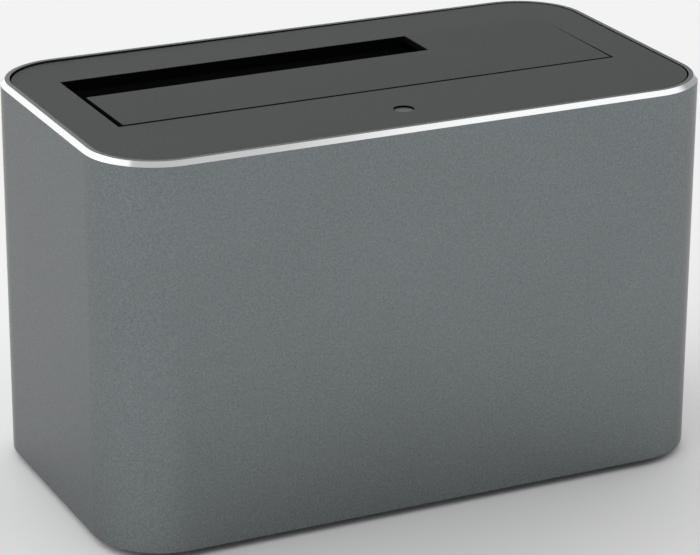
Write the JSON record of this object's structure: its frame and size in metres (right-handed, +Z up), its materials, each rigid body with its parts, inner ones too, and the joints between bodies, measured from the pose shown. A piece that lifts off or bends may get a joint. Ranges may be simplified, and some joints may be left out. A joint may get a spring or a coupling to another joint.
{
  "type": "hard drive docking station",
  "caption": "Desktop drive docking station: rounded grey metal sleeve, dark top plate, sprung L-shaped bay flap over a 3.5 inch bay with an open 2.5 inch slot, rear power and USB ports.",
  "frame": {"origin": "on the table, under the middle of the body's outline", "axes": "+X to the right as seen from the front, +Y to the back where the ports are, +Z up"},
  "size_m": [0.125, 0.069, 0.0772],
  "materials": {
    "anodised_aluminium": "bead-blasted and anodised slate grey, with a bright-cut bevel round the top edge",
    "bezel_plastic": "fine matte moulded texture, dark grey",
    "black_plastic": "matte moulded black",
    "socket_plastic": "satin black moulding",
    "steel": "plain bright steel",
    "gold_contacts": "gold plated",
    "board_laminate": "green solder mask",
    "chip_epoxy": "matte black epoxy",
    "capacitor_can": "bare drawn can",
    "clear_plastic": "frosted clear moulding",
    "blue_plastic": "satin blue moulding",
    "rubber": "matte black rubber"
  },
  "bodies": {
    "case": {"sleeve": "anodised_aluminium", "top_plate": "bezel_plastic", "hinge_pins": "steel", "flap_springs": "steel", "drive_well": "black_plastic", "light_pipe": "clear_plastic", "drive_socket": "socket_plastic", "drive_contacts": "gold_contacts", "main_board": "board_laminate", "status_led": "clear_plastic", "bridge_chip": "chip_epoxy", "memory_chip": "chip_epoxy", "crystal": "steel", "regulators": "chip_epoxy", "coils": "chip_epoxy", "capacitors": "capacitor_can", "small_parts": "chip_epoxy", "usb_shell": "steel", "usb_insert": "blue_plastic", "usb_contacts": "gold_contacts", "dc_jack": "socket_plastic", "dc_pin": "steel", "dc_spring": "steel", "switch_body": "socket_plastic", "rear_panel": "black_plastic", "base_plate": "black_plastic", "foot_front_left": "rubber", "foot_front_right": "rubber", "foot_rear_left": "rubber", "foot_rear_right": "rubber", "base_screws": "steel", "board_screws": "steel", "plate_screws": "steel"},
    "bay_flap": {"flap": "bezel_plastic"},
    "power_button": {"switch_plunger": "socket_plastic", "button_cap": "bezel_plastic"}
  },
  "joints": [
    {"name": "flap_hinge", "type": "hinge", "parent": "case", "child": "bay_flap", "pos_m": [0, -0.0127, 0.0723], "axis": [-1, 0, 0], "range_deg": [0, 90], "stiffness_Nm_per_rad": 0.006, "springref_deg": -34.38, "deforming": ["flap_springs"]},
    {"name": "button_slide", "type": "slide", "parent": "case", "child": "power_button", "axis": [0, -1, 0], "range_m": [0, 0.002], "stiffness_N_per_m": 800, "springref_m": -0.002}
  ]
}
